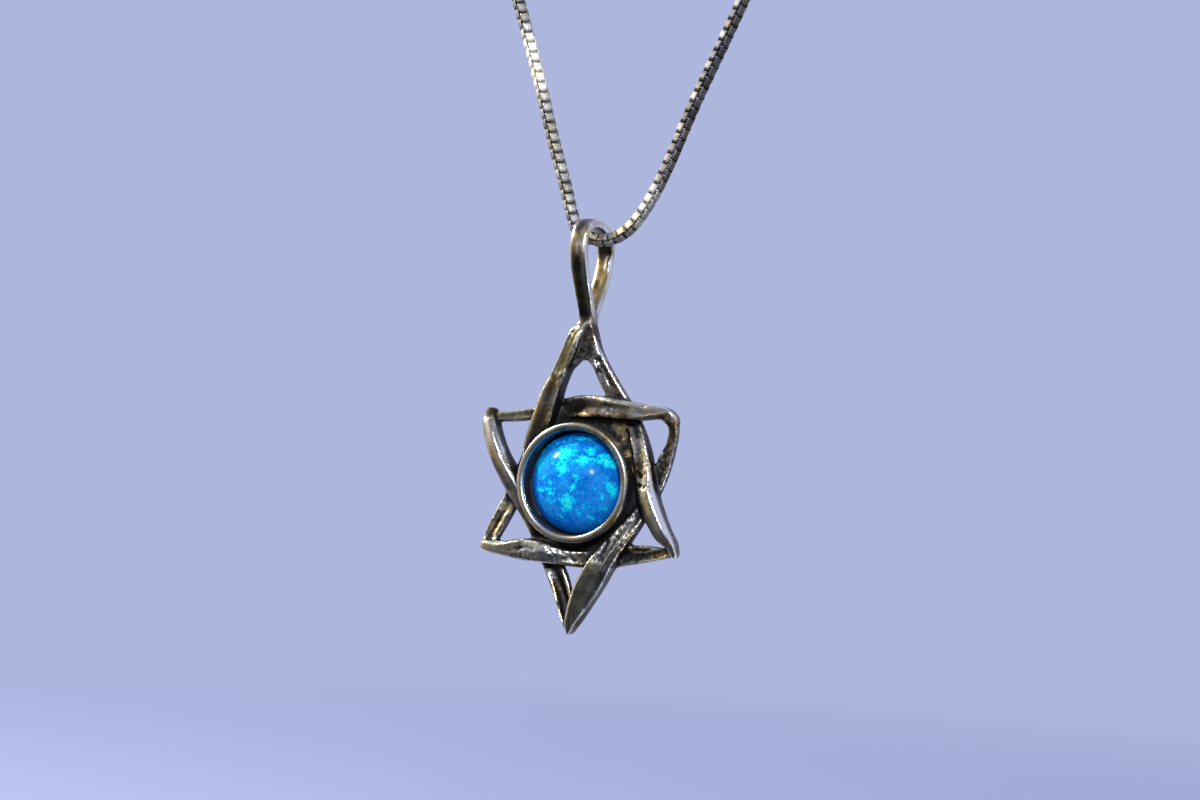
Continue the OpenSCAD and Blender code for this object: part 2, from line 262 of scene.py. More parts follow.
down_bar = [
    (-0.01, 0.32, 0.30, 0.76, 0.50, 0.00, 0.00, 0.10),
    (0.00, 0.14, 0.42, 0.84, 0.60, 0.00, 0.00, 0.10),
    (0.035, -0.06, 0.48, 0.90, 0.72, 0.00, 0.00, 0.10),
    (0.09, -0.12, 0.54, 0.95, 0.84, 0.05, 0.00, 0.10),
    (0.17, -0.14, 0.67, 1.00, 0.90, 0.10, 0.02, 0.10),
    (0.26, -0.20, 0.74, 1.00, 0.95, 0.10, 0.05, 0.15),
    (0.35, -0.28, 0.85, 0.96, 0.96, 0.10, 0.12, 0.40),
    (0.44, -0.33, 0.92, 0.85, 0.85, 0.10, 0.18, 0.60),
    (0.53, -0.33, 0.90, 0.68, 0.68, 0.05, 0.20, 0.60),
    (0.62, -0.24, 0.78, 0.50, 0.50, 0.00, 0.15, 0.60),
    (0.70, -0.10, 0.58, 0.48, 0.46, 0.00, 0.10, 0.40),
    (0.79, -0.02, 0.50, 0.54, 0.44, 0.00, 0.06, 0.40),
    (0.89, 0.09, 0.46, 0.60, 0.44, 0.00, 0.05, 0.40),
    (1.00, 0.12, 0.42, 0.66, 0.46, 0.00, 0.03, 0.30),
]
down_left = [
    (-0.03, -0.06, 0.26, 0.70, 0.50, 0.00, 0.00, 0.10),
    (-0.01, -0.16, 0.48, 0.80, 0.62, 0.00, 0.00, 0.10),
    (0.03, -0.30, 0.64, 0.92, 0.78, 0.00, -0.04, 0.10),
    (0.10, -0.41, 0.70, 1.00, 0.88, 0.10, -0.08, 0.10),
    (0.18, -0.42, 0.74, 1.00, 0.94, 0.15, -0.10, 0.10),
    (0.27, -0.33, 0.82, 0.98, 0.98, 0.20, -0.10, 0.10),
    (0.36, -0.22, 0.80, 0.86, 0.86, 0.20, -0.08, 0.15),
    (0.44, -0.10, 0.74, 0.74, 0.74, 0.15, -0.04, 0.20),
    (0.52, -0.02, 0.70, 0.60, 0.60, 0.10, 0.05, 0.20),
    (0.60, 0.06, 0.72, 0.48, 0.48, 0.00, 0.10, 0.30),
    (0.68, 0.10, 0.80, 0.48, 0.48, 0.00, 0.10, 0.40),
    (0.76, 0.16, 0.84, 0.54, 0.52, 0.00, 0.30, 0.50),
    (0.84, 0.15, 0.76, 0.58, 0.54, 0.00, 0.40, 0.50),
    (0.91, 0.06, 0.66, 0.60, 0.56, 0.00, 0.40, 0.50),
    (0.96, -0.03, 0.46, 0.62, 0.56, 0.00, 0.30, 0.40),
    (1.00, 0.00, 0.26, 0.62, 0.50, 0.00, 0.10, 0.30),
]
up_base = [
    (-0.03, 0.06, 0.34, 0.80, 0.50, 0.00, 0.00, 0.10),
    (0.02, 0.01, 0.50, 0.88, 0.66, 0.00, 0.00, 0.10),
    (0.10, -0.05, 0.60, 0.95, 0.80, 0.00, 0.00, 0.30),
    (0.17, -0.05, 0.80, 1.00, 0.90, 0.00, 0.02, 0.80),
    (0.25, -0.07, 0.90, 1.00, 0.95, 0.00, 0.04, 0.90),
    (0.33, -0.14, 0.84, 1.00, 1.00, 0.00, 0.05, 1.00),
    (0.41, -0.27, 0.70, 0.90, 0.90, 0.00, 0.08, 1.00),
    (0.50, -0.34, 0.68, 0.74, 0.74, 0.00, 0.10, 0.80),
    (0.58, -0.33, 0.72, 0.56, 0.56, 0.00, 0.10, 0.50),
    (0.66, -0.25, 0.80, 0.46, 0.46, 0.00, 0.10, 0.40),
    (0.75, -0.14, 0.84, 0.50, 0.50, 0.00, 0.15, 0.50),
    (0.84, -0.06, 0.72, 0.56, 0.50, 0.00, 0.20, 0.60),
    (0.93, 0.00, 0.54, 0.62, 0.50, 0.00, 0.15, 0.50),
    (1.00, 0.00, 0.34, 0.68, 0.48, 0.00, 0.05, 0.30),
]
down_right = [
    (-0.01, 0.04, 0.12, 0.74, 0.50, 0.00, 0.00, 0.10),
    (0.03, 0.10, 0.42, 0.92, 0.80, 0.10, 0.00, 0.10),
    (0.09, 0.11, 0.66, 0.98, 0.92, 0.20, 0.00, 0.10),
    (0.16, 0.12, 0.88, 1.00, 0.96, 0.25, 0.00, 0.10),
    (0.23, 0.10, 1.00, 1.00, 1.00, 0.25, 0.00, 0.15),
    (0.30, 0.05, 0.98, 1.00, 1.00, 0.20, 0.00, 0.40),
    (0.37, -0.05, 0.88, 0.97, 0.97, 0.10, 0.05, 0.70),
    (0.45, -0.20, 0.78, 0.88, 0.88, 0.00, 0.08, 0.80),
    (0.52, -0.34, 0.68, 0.74, 0.74, 0.00, 0.10, 0.80),
    (0.59, -0.45, 0.60, 0.56, 0.56, 0.00, 0.10, 0.60),
    (0.67, -0.46, 0.66, 0.46, 0.46, 0.00, 0.08, 0.60),
    (0.75, -0.45, 0.66, 0.48, 0.48, 0.00, 0.06, 0.80),
    (0.82, -0.40, 0.60, 0.52, 0.46, 0.00, 0.05, 0.90),
    (0.88, -0.37, 0.44, 0.56, 0.44, 0.00, 0.04, 0.90),
    (0.94, -0.26, 0.38, 0.62, 0.42, 0.00, 0.03, 0.70),
    (1.00, 0.00, 0.32, 0.68, 0.42, 0.00, 0.05, 0.30),
]
up_right = [
    (-0.025, -0.20, 0.22, 0.76, 0.50, 0.00, 0.00, 0.10),
    (0.03, -0.22, 0.44, 0.90, 0.76, -0.05, -0.03, 0.10),
    (0.08, -0.06, 0.64, 1.00, 0.90, -0.10, -0.06, 0.10),
    (0.13, 0.02, 0.76, 1.00, 0.94, -0.15, -0.09, 0.10),
    (0.19, 0.05, 0.82, 1.00, 0.98, -0.15, -0.10, 0.15),
    (0.26, -0.02, 0.78, 1.00, 1.00, -0.10, -0.10, 0.30),
    (0.33, -0.17, 0.70, 0.96, 0.96, -0.05, 0.05, 0.50),
    (0.40, -0.32, 0.68, 0.86, 0.86, 0.00, 0.10, 0.60),
    (0.47, -0.38, 0.66, 0.72, 0.72, 0.00, 0.10, 0.60),
    (0.54, -0.38, 0.60, 0.54, 0.54, 0.00, 0.10, 0.50),
    (0.62, -0.24, 0.66, 0.46, 0.46, 0.00, 0.15, 0.50),
    (0.70, -0.06, 0.72, 0.54, 0.54, 0.00, 0.06, 0.60),
    (0.78, 0.05, 0.68, 0.62, 0.58, 0.00, 0.09, 0.60),
    (0.86, 0.09, 0.58, 0.70, 0.62, 0.00, 0.09, 0.60),
    (0.94, 0.06, 0.48, 0.76, 0.66, 0.00, 0.07, 0.50),
    (1.00, 0.00, 0.34, 0.78, 0.66, 0.00, 0.04, 0.40),
]
bands = (
    (TOP, LOWER_LEFT, up_left),
    (LOWER_LEFT, LOWER_RIGHT, up_base),
    (LOWER_RIGHT, TOP, up_right),
    (UPPER_RIGHT, UPPER_LEFT, down_bar),
    (UPPER_LEFT, BOTTOM, down_left),
    (BOTTOM, UPPER_RIGHT, down_right),
)

# Front half of the bail from its foot to its top: share of its height, share of its half depth,
# width as a share of bail_w
bail_rows = (
    (0.00, 0.04, 0.80), (0.12, 0.17, 0.84), (0.22, 0.33, 0.88), (0.32, 0.50, 0.92),
    (0.42, 0.68, 0.94), (0.52, 0.84, 0.95), (0.63, 0.95, 0.95), (0.75, 1.00, 0.95),
    (0.86, 0.93, 0.96), (0.94, 0.72, 0.98), (0.985, 0.38, 0.98),
)


def corner(share):
    return np.array((share[0] * star_w / 2, share[1] * star_h / 2))


def across(v):
    return np.array((-v[1], v[0])) / math.hypot(*v)


def finer(rows, steps):
    """The rows, with more set between each two on a smooth curve through them all."""
    rows = np.array(rows, float)
    held = np.vstack((rows[:1], rows, rows[-1:]))
    made = []
    for a, b, c, d in zip(held, held[1:], held[2:], held[3:]):
        for t in np.arange(steps) / steps:
            turn = (2 * a - 5 * b + 4 * c - d) * t ** 2 + (3 * b - a - 3 * c + d) * t ** 3
            made.append((2 * b + (c - a) * t + turn) / 2)
    made.append(rows[-1])
    return np.array(made)


def section(sides, softness):
    """Points round a strip of half width 1 and half depth 1, flat-sided and rounded at its corners."""
    angle = np.arange(sides) * 2 * math.pi / sides
    both = np.stack((np.cos(angle), np.sin(angle)))
    return (np.sign(both) * np.abs(both) ** softness).T


def quads(rings, count, closed=False):
    """Faces between rings of count points each. closed joins the last ring to the first."""
    return [
        (k * count + i, k * count + (i + 1) % count,
         (k + 1) % rings * count + (i + 1) % count, (k + 1) % rings * count + i)
        for k in range(rings - 1 + closed)
        for i in range(count)
    ]


def skin(rings):
    """Points and faces of a closed skin over rings of points."""
    count = len(rings[0])
    points = [tuple(p) for ring in rings for p in ring]
    caps = [tuple(range(count - 1, -1, -1)), tuple(range(len(points) - count, len(points)))]
    return points, quads(len(rings), count) + caps


def band(start, end, rows):
    """The rings of points round a band, and how rough it is at each of them."""
    a = corner(start)
    b = corner(end)
    rows = finer(rows, steps_between)
    path = a + rows[:, :1] * (b - a) + rows[:, 1:2] * band_w * across(b - a)
    heading = np.gradient(path, axis=0)
    rings = []
    for at, way, row in zip(path, heading, rows):
        width, front, thick, lean, dish = row[2] * band_w, *(row[3:7] * band_d)
        out = across(way)
        ring = []
        for u, v in section(band_sides, 0.5):
            y = back_y - front + thick / 2 + v * thick / 2
            if v < 0:
                y += dish * max(0, 1 - u * u) ** 1.5 - lean * u * -v
            ring.append((at[0] + u * width / 2 * out[0], y, at[1] + u * width / 2 * out[1]))
        rings.append(ring)
    return rings, rows[:, 7]


def hull(points):
    """The closed skin stretched over some points."""
    wrap = bmesh.new()
    for p in points:
        wrap.verts.new(p)
    result = bmesh.ops.convex_hull(wrap, input=wrap.verts)
    bmesh.ops.delete(wrap, geom=list(set(result["geom_interior"])), context="VERTS")
    wrap.verts.index_update()
    made = [tuple(v.co) for v in wrap.verts], [tuple(v.index for v in f.verts) for f in wrap.faces]
    wrap.free()
    return made


def disc(at, r, front_y, rear_y, sides=32):
    """Points of a flat round disc, which faces the front."""
    return [(at[0] + x, y, at[1] + z) for x, z in circle(r, sides) for y in (front_y, rear_y)]


def barrel(r, rear_y, front_y, sides):
    """The closed skin of a round barrel about the line through the opal."""
    return skin([[(x, y, z) for x, z in circle(r, sides)] for y in (rear_y, front_y)])


def crossing(a, b, c, d):
    """Where the line from a to b crosses the line from c to d."""
    a, b, c, d = map(corner, (a, b, c, d))
    ab = b - a
    cd = d - c
    s = ((c - a)[0] * cd[1] - (c - a)[1] * cd[0]) / (ab[0] * cd[1] - ab[1] * cd[0])
    return a + s * ab


# Ridges, folds, grooves and holes carved in the wax, and where the silver is made brighter, darker
# or tarnished yellow. The shine is partly rubbed silver and black oxide, and partly painted highlight
# and painted shade, laid where light and shade fall on the metal. Each is a stroke over the front: y
# of the face that it lies on, half width, rise, shine, brass, and its points across and up. The faces
# are those of a band that lies over another, of one on its way down, of one that lies under, and of
# the plate.
OVER, MID, UNDER, PLATE = -1.15, -0.6, -0.2, 0.0
strokes = (
    # up_left
    (OVER, 0.16, 0.1, 0.3, 0.5, ((-0.4, 12.7), (-1, 12.1), (-1.5, 11.1), (-1.9, 10), (-2.4, 8.8))),
    (OVER, 0.12, 0.1, 0.45, -0.2, ((0.3, 12.8), (-0.1, 12.3), (-0.4, 11.6), (-0.5, 11))),
    (OVER, 0.28, 0.06, 0.3, 0.3, ((-0.8, 12.6), (-1.1, 11.9), (-1.4, 11.2))),
    (OVER, 0.24, -0.02, 0.05, 0.7, ((-0.5, 12.1), (-0.9, 11.1), (-1.5, 9.9), (-1.9, 8.9), (-2.2, 7.8))),
    (OVER, 0.07, 0.08, 0.35, 0,
     ((-0.2, 11), (-0.6, 10.2), (-0.9, 9.3), (-1, 8.2), (-1.3, 7.2), (-1.7, 6.1), (-2, 5.1))),
    (OVER, 0.16, 0.07, 0.3, 0.2, ((-2.5, 8.7), (-1.9, 8.5), (-1.3, 8.7))),
    (MID, 0.22, 0, -0.42, 0.3, ((-0.9, 9.3), (-1.3, 8), (-1.8, 6.7), (-2.1, 5.6))),
    (OVER, 0.5, 0, 0.03, 0.6, ((-0.7, 12), (-1.3, 10.5), (-2, 8.8), (-2.5, 7.3))),
    (OVER, 0.6, -0.04, -0.36, 0.4, ((-2.4, 7.5), (-2.7, 6.5), (-2.9, 5.4), (-3.3, 4.2))),
    (OVER, 0.14, 0.03, 0.3, 0.6, ((-2.4, 5.4), (-2.6, 4.8))),
    (OVER, 0.12, 0.02, 0.2, 0.3, ((-1.9, 7.8), (-1.6, 8.1))),
    # the web in the top corner, and the leg to its right
    (OVER, 0.3, -0.05, -0.25, 0, ((0.8, 12.2), (0.8, 11.2), (0.5, 10.4))),
    (OVER, 0.12, 0.05, 0.25, 0, ((0.5, 11.6), (0.9, 11), (1.5, 10.3))),
    (MID, 0.1, 0.08, 0.55, -0.1,
     ((1.2, 11.2), (1.6, 10.3), (2.1, 9.3), (2.8, 8.4), (3.5, 7.5), (4.1, 6.8))),
    (MID, 0.08, 0.08, 0.45, -0.1, ((1.3, 9.6), (1.6, 9.1), (1.9, 8.4), (2.2, 7.7))),
    (MID, 0.2, -0.05, -0.25, 0.2, ((1.6, 9.3), (2.3, 8.4), (2.9, 7.5))),
    (MID, 0.12, 0.02, 0.25, 0.7, ((2.9, 7.4), (3.4, 7.1))),
    # the bail, its foot first
    (-0.9, 0.45, 0, -0.45, 0, ((-0.1, 13.6), (0.4, 12.9), (0.8, 12.1))),
    (MID, 0.35, 0, -0.27, 0.5, ((-0.2, 13.7), (-0.4, 14.6))),
    (-1.2, 0.35, 0, -0.27, 0.5, ((-0.1, 14.3), (-0.3, 15.4))),
    (-1.8, 0.35, 0, -0.27, 0.5, ((0, 14.9), (-0.3, 16.3))),
    (-2.5, 0.35, 0, -0.25, 0.4, ((0, 15.9), (-0.1, 17.5))),
    (-3, 0.35, 0, -0.2, 0.1, ((0.1, 17.2), (0.1, 18.3))),
    (-3, 0.6, 0, -0.22, 0.3, ((0.1, 17.4), (0, 19.1), (0.2, 20.1))),
    (-2.6, 0.26, 0, -0.45, 0.2, ((0.1, 20.4), (-0.1, 19.9))),
    (-1.8, 0.45, 0, -0.3, 0.1, ((-0.1, 20.8), (0.4, 20.9))),
    (-3, 0.24, 0.03, 0.22, 0.9, ((-0.4, 18.7), (-0.4, 19.1), (-0.2, 19.6))),
    (-3.05, 0.22, 0.07, 0.75, -0.5, ((0.2, 18.2), (0.2, 18.7))),
    (-2.8, 0.14, 0.02, 0.35, -0.4, ((0.5, 17.8), (0.6, 16.6))),
    (2.2, 0.5, 0, -0.15, 0.9, ((0.1, 19.9), (0, 17.6))),
    (1.5, 0.5, 0, -0.15, 0.9, ((0.2, 17.2), (-0.1, 15.7))),
    (0.9, 0.5, 0, -0.2, 0.7, ((0.1, 15.5), (-0.1, 14.3))),
    (2.1, 0.18, -0.04, -0.5, 0, ((-0.2, 18.9), (0, 18.6))),
    (2.1, 0.18, 0.05, 0.7, -0.6, ((0.5, 18.4), (0.5, 17.6))),
    (2.1, 0.5, 0, -0.55, 0, ((0.1, 20), (0.3, 19))),
    (1.6, 0.14, -0.04, -0.5, 0, ((0, 16.4), (0, 16))),
    # down_bar
    (OVER, 0.12, 0.1, 0.4, 0.5,
     ((0.9, 6.9), (1.7, 6.7), (2.5, 6.6), (3.4, 6.5), (4.3, 6.4), (5.4, 6.3))),
    (OVER, 0.4, -0.06, -0.35, 0.1, ((0.1, 6.3), (1.3, 6), (2.5, 6), (3.9, 5.9))),
    (OVER, 0.45, 0, -0.25, 0.2, ((4.4, 5.9), (5.8, 5.8), (7.1, 5.7), (7.8, 5.3))),
    (OVER, 0.3, 0, -0.2, 0.4, ((0, 6.8), (1.1, 6.5))),
    (MID, 0.36, 0, -0.55, 0.7, ((-0.3, 6), (0.6, 5.9), (1.8, 5.7))),
    (OVER, 0.12, 0.02, 0.25, 0.8, ((0, 5.5), (0.7, 5.3), (1.5, 5.2))),
    (OVER, 0.14, -0.12, -0.4, 0, ((2.3, 6.3), (2.7, 6.1))),
    (OVER, 0.2, 0.1, 0.48, -0.3, ((5.9, 6.4), (6.8, 6.3), (7.7, 6.1), (8.2, 5.7))),
    (OVER, 0.08, 0.07, 0.25, 0.6, ((3.1, 5.3), (4.2, 5.2), (5.4, 5.4), (6.3, 5.6), (7.3, 5.8))),
    (OVER, 0.3, 0, -0.25, 0.5, ((1.3, 5.8), (2.7, 5.7), (4.1, 5.6))),
    (MID, 0.1, 0.14, -0.1, 0, ((5.8, 5.3), (6.1, 5.2))),
    (MID, 0.1, 0.14, -0.1, 0, ((6.5, 5.3), (6.7, 5.4))),
    (UNDER, 0.2, 0.05, 0.38, 1, ((-7, 5.3), (-6.2, 5.4), (-5.3, 5.6), (-4.6, 5.8))),
    # up_right
    (OVER, 0.15, 0.06, 0.35, 0.6, ((5.5, 4.6), (5.6, 3.6), (5.8, 2.7), (6.1, 1.9), (6.2, 1))),
    (OVER, 0.11, -0.16, -0.55, 0, ((5.4, 1), (5.7, 0.8))),
    (OVER, 0.09, -0.14, -0.55, 0, ((6.1, 1.1), (6.1, 1))),
    (OVER, 0.12, -0.16, -0.55, 0, ((5.6, 0.1), (5.8, 0))),
    (OVER, 0.09, -0.14, -0.55, 0, ((6.2, 0), (6.2, -0.1))),
    (OVER, 0.25, 0.03, 0.22, 0.5, ((6.3, -0.2), (6.6, -1.2), (6.7, -2.1))),
    (OVER, 0.26, 0.03, 0.6, -0.3,
     ((6.3, 1.6), (6.7, 0.2), (7.1, -1), (7.5, -2), (7.9, -2.9), (8.4, -3.7))),
    (OVER, 0.1, 0.03, 0.3, 0.9, ((5.6, 3.2), (5.6, 2.9))),
    (OVER, 0.09, 0.02, 0.3, 0.9, ((5.4, 2.5), (5.6, 2.2))),
    (OVER, 0.08, 0.02, 0.3, 0.9, ((5.2, 1.6), (5.3, 1.4))),
    (PLATE, 0.12, 0.02, 0.3, 0.8, ((4.1, 2.8), (4.3, 2.4))),
    (PLATE, 0.1, 0.02, 0.3, 0.8, ((4.5, 1.4), (4.6, 1.1))),
    (OVER, 0.28, 0.02, 0.5, -0.4, ((6.9, -1.2), (7.5, -2.4), (8.1, -3.3))),
    (OVER, 0.25, 0, -0.2, -0.1, ((6.1, -1.7), (6.7, -2.8), (7.4, -3.8), (8.1, -4.6))),
    (OVER, 0.32, -0.03, -0.4, 0, ((4.7, 4.2), (5, 3.2), (5.2, 2.2), (5.3, 1.3))),
    (PLATE, 0.45, 0.03, 0.2, 0.7, ((3.5, 4.7), (4, 3.6), (4.4, 2.5), (4.5, 1.3))),
    (PLATE, 0.3, 0.02, 0.35, 0.6, ((2.6, 5.1), (3.2, 4.4), (3.5, 3.6))),
    (PLATE, 0.16, -0.08, -0.5, 0, ((4, 4.3), (4.2, 3.9))),
    (PLATE, 0.16, -0.08, -0.5, 0, ((4.6, 2.9), (4.6, 2.5))),
    (MID, 0.12, 0.06, 0.45, 0.3, ((4.2, 3.9), (4.5, 3.1))),
    (MID, 0.1, 0.06, 0.45, 0.3, ((4.7, 2.4), (4.9, 1.8))),
    # up_base
    (OVER, 0.15, 0.08, 0.4, 0.6,
     ((-7.9, -5.1), (-7.2, -5.3), (-6.5, -5.4), (-5.7, -5.2), (-4.9, -5), (-4.2, -4.8))),
    (OVER, 0.11, -0.14, -0.55, 0, ((-4.4, -5.5), (-3.8, -5.4), (-3.2, -5.5))),
    (OVER, 0.28, 0.12, 0.75, -0.5, ((-3.9, -5.5), (-2.9, -5.6), (-1.8, -5.7))),
    (OVER, 0.2, 0.08, 0.5, -0.4, ((-1.8, -5.8), (-0.7, -5.9))),
    (OVER, 0.3, 0.02, 0.25, -0.1, ((-0.7, -5.8), (0.3, -5.8), (1.3, -5.8))),
    (OVER, 0.1, 0.06, 0.3, 0.1, ((-3.8, -6.5), (-2.4, -6.5), (-1.1, -6.5), (0.2, -6.4))),
    (OVER, 0.25, -0.04, -0.3, 0, ((1.9, -5.7), (2.7, -5.8))),
    (OVER, 0.1, 0.04, 0.25, 0, ((-3.4, -4.8), (-2.5, -4.8), (-1.7, -5.1))),
    (UNDER, 0.08, 0.1, 0.3, 0, ((4.7, -4.9), (5, -5.2), (5.9, -5.2), (6.9, -4.9), (7.8, -4.6))),
    (UNDER, 0.12, 0.08, 0.4, 0.7, ((4.2, -6.5), (5.1, -6.3), (6.2, -6), (7.2, -5.7), (8.1, -5.3))),
    (UNDER, 0.14, -0.03, 0.2, 0.8, ((6.7, -5.5), (7.5, -5.1))),
    # down_left
    (OVER, 0.3, 0.04, 0.8, -0.5, ((-7.7, 4.6), (-7.4, 3.9), (-6.9, 3.1), (-6.4, 2.4))),
    (OVER, 0.2, 0.04, 0.7, -0.4, ((-6.4, 2.4), (-5.9, 1.8), (-5.3, 1.1))),
    (OVER, 0.2, 0.02, 0.2, 0.4, ((-7.8, 3.1), (-7.5, 2.3))),
    (OVER, 0.55, 0, -0.4, 0.4, ((-8, 5.2), (-7.5, 4.8))),
    (MID, 0.55, 0, -0.4, 0.5, ((-8.5, 6), (-7.9, 5.5))),
    (UNDER, 0.4, 0, -0.3, 0.5, ((-8.6, 5.9), (-7.8, 5.5))),
    (OVER, 0.3, -0.03, -0.25, 0, ((-7.1, 1.3), (-6.4, 0.4), (-5.7, -0.6))),
    (UNDER, 0.08, 0.08, 0.12, 0.4, ((-1.8, -8), (-1.5, -8.8), (-1.2, -9.6))),
    (UNDER, 0.09, 0.08, 0.18, 0.4, ((-1.1, -9.9), (-0.9, -10.5), (-0.6, -11.2))),
    (UNDER, 0.12, -0.15, -0.3, 0.2, ((-1.4, -10), (-1.2, -9.9))),
    (UNDER, 0.1, 0.1, 0.45, 0, ((-0.9, -7.2), (-0.7, -8), (-0.4, -8.7), (-0.2, -9.4))),
    (UNDER, 0.24, -0.1, 0.05, 0.9, ((-1.4, -8), (-0.9, -9.2), (-0.7, -10.3))),
    # the stub of up_left at the lower left corner
    (UNDER, 0.1, 0.1, 0.5, 0.1, ((-6.9, -2.5), (-7.5, -3.6), (-7.9, -4.4))),
    (UNDER, 0.12, 0.1, 0.5, 0.2, ((-6.1, -2.8), (-6.5, -3.6), (-6.9, -4.4), (-7, -4.9))),
    (UNDER, 0.12, -0.05, -0.2, 0, ((-6.7, -3), (-7.2, -4), (-7.6, -4.7))),
    (UNDER, 0.3, 0, 0.15, 0.7, ((-6.2, -2.4), (-6.8, -3.4), (-7.2, -4.2))),
    # down_right
    (OVER, 0.12, 0.05, 0.42, 0.4,
     ((0.3, -11.4), (0.4, -10.2), (0.6, -9.1), (0.9, -8), (1.3, -7), (1.9, -6), (2.4, -5.4))),
    (OVER, 0.12, 0, 0.05, 0.9, ((0.8, -11.5), (1.3, -10.6), (1.8, -9.7))),
    (OVER, 0.34, 0, 0.38, 0.55, ((2, -7.1), (1.3, -8.6), (0.8, -9.9), (0.5, -10.7))),
    (OVER, 0.26, 0, -0.35, -0.3, ((3, -7), (2.3, -8.5), (1.6, -9.7))),
    (OVER, 0.1, 0.06, 0.55, -0.4, ((3.9, -6.5), (3, -8.1), (2.1, -9.6), (1.4, -10.7))),
    (MID, 0.28, 0, -0.5, 0.1, ((4.1, -6.9), (3.3, -8.5), (2.2, -9.9), (1.1, -11.2))),
    (UNDER, 0.28, 0, -0.4, 0.1, ((3.9, -7.1), (3.1, -8.7), (2.1, -10), (0.9, -11.4))),
    (OVER, 0.1, 0.12, 0.5, -0.1,
     ((5.2, -2.1), (4.8, -3.1), (4.3, -4.1), (3.8, -5), (3.3, -5.8), (2.8, -6.8))),
    (OVER, 0.14, 0.05, 0.4, -0.1, ((4.1, -3), (3.5, -4.1))),
    (OVER, 0.12, -0.1, -0.4, 0, ((3.2, -4.4), (2.9, -5.3))),
    (MID, 0.12, 0.05, 0.3, 0.3, ((7.8, 3.8), (7.7, 2.6), (7.4, 1.7))),
    (MID, 0.34, 0, -0.34, 0.4, ((7.6, 5.6), (8, 4.9), (7.9, 3.8), (7.6, 2.5), (7.2, 1.4))),
    (MID, 0.12, 0.06, 0.45, 0.1, ((7.5, 0.8), (7.4, 1))),
)

solids = []
marks = []
for start, end, rows in bands:
    rings, rough = band(start, end, rows)
    solids.append(skin(rings))
    marks += [(p, r) for ring, r in zip(rings, rough) for p in ring[::3]]

# The plate spreads from under the bezel to each crossing of the bands, and is rougher on the right
plate = disc((0, 0), bezel_r + 0.8, plate_y - plate_t, plate_y, 64)
marks += [(p, 0.9 if p[0] > 0 else 0.4) for p in plate]
for up_start, up_end, _ in bands[:3]:
    for down_start, down_end, _ in bands[3:]:
        at = crossing(up_start, up_end, down_start, down_end)
        # leaves out the crossings that would lie beyond the corners
        if np.hypot(*at) < star_h / 3:
            solids.append(hull(plate + disc(at, 0.3 * band_w, plate_y - plate_t, plate_y)))

at_top = corner(TOP)
foot = disc(at_top, 0.3 * band_w, foot_front, foot_rear)
web = [
    p
    for share in ((-0.13, 0.84), (0.14, 0.84))
    for p in disc(corner(share), 0.15 * band_w, back_y - 0.7 * band_d, back_y - 0.2 * band_d)
]
fork_at = at_top + (0, 0.12 * (bail_h - bail_t / 2))
fork = disc(fork_at, 0.4 * 0.84 * bail_w, foot_front, foot_rear)
solids += [hull(foot + web), hull(foot + fork)]
marks += [(p, 1) for p in web] + [(p, 0.4) for p in fork]

front = [
    (-out * (bail_d - bail_t) / 2, at_top[1] + rise * (bail_h - bail_t / 2), width * bail_w)
    for rise, out, width in bail_rows
]
rear_half = [(-y, z, width) for y, z, width in front[::-1]]
loop = finer(front + [(0, at_top[1] + bail_h - bail_t / 2, bail_w)] + rear_half, steps_between)
rings = []
for (y, z, width), way in zip(loop, np.gradient(loop[:, :2], axis=0)):
    out = across(way)
    rings.append([
        (at_top[0] + u * width / 2, y + v * bail_t / 2 * out[0], z + v * bail_t / 2 * out[1])
        for u, v in section(band_sides, 0.4)
    ])
solids.append(skin(rings))
marks += [(p, 0.1) for ring in rings for p in ring[::3]]

# A bead of solder fills each of four corners: place across and up, y of its face, radius, depth
beads = (
    (-7.2, 4.95, -0.3, 0.4, 0.5), (-7.75, -5.4, -0.72, 0.45, 0.6), (7.75, 5.4, -0.85, 0.5, 0.8),
    (8.35, -4.95, -0.7, 0.27, 0.7),
)
for x, z, face_y, r, depth in beads:
    knob = [
        p for wide, lap in ((0.4, 0), (0.8, 0.07), (1, 0.22))
        for p in disc((x, z), r * wide, face_y + lap, face_y + depth - lap)
    ]
    solids.append(hull(knob))
    marks += [(p, 0.2) for p in knob]

# Solder rounds the corners of the gap under the web: three places across and up for each fillet
fillets = (
    ((-0.85, 10.2), (-1.05, 9.3), (0, 10.4)),
    ((0.85, 10.2), (1.15, 9.2), (0, 10.4)),
    ((-0.4, 10.0), (0.45, 10.0), (0, 10.5)),
)
for spots in fillets:
    fillet = [p for at in spots for p in disc(at, 0.15, back_y - 0.7 * band_d, back_y - 0.25 * band_d)]
    solids.append(hull(fillet))
    marks += [(p, 0.9) for p in fillet]

# The upper right corner is bent round, not pointed: across, up and y of the middle of its face
bend = ((7.5, 5.42, -1.0), (7.9, 5.1, -0.85), (7.95, 4.7, -0.6), (7.9, 4.2, -0.36))
for a, b in zip(bend, bend[1:]):
    knee = [
        p for x, z, y in (a, b) for r, deep in ((0.2, 0), (0.38, 0.15), (0.38, 0.6))
        for p in disc((x, z), r, y + deep, y + deep)
    ]
    solids.append(hull(knee))
    marks += [(p, 0.3) for p in knee]

points = []
faces = []
for some_points, some_faces in solids:
    faces += [tuple(i + len(points) for i in face) for face in some_faces]
    points += some_points


def place_mm(tree):
    """Where a point of the surface lies, in millimetres."""
    place = add(tree, "TexCoord").outputs["Object"]
    return add(tree, "VectorMath", {0: place, 3: 1 / mm}, operation="SCALE").outputs[0]


def clouds(tree, place, scale, detail, roughness=0.5):
    """Cloudy noise between 0 and 1."""
    inputs = {"Vector": place, "Scale": scale, "Detail": detail, "Roughness": roughness}
    return add(tree, "TexNoise", inputs).outputs[0]


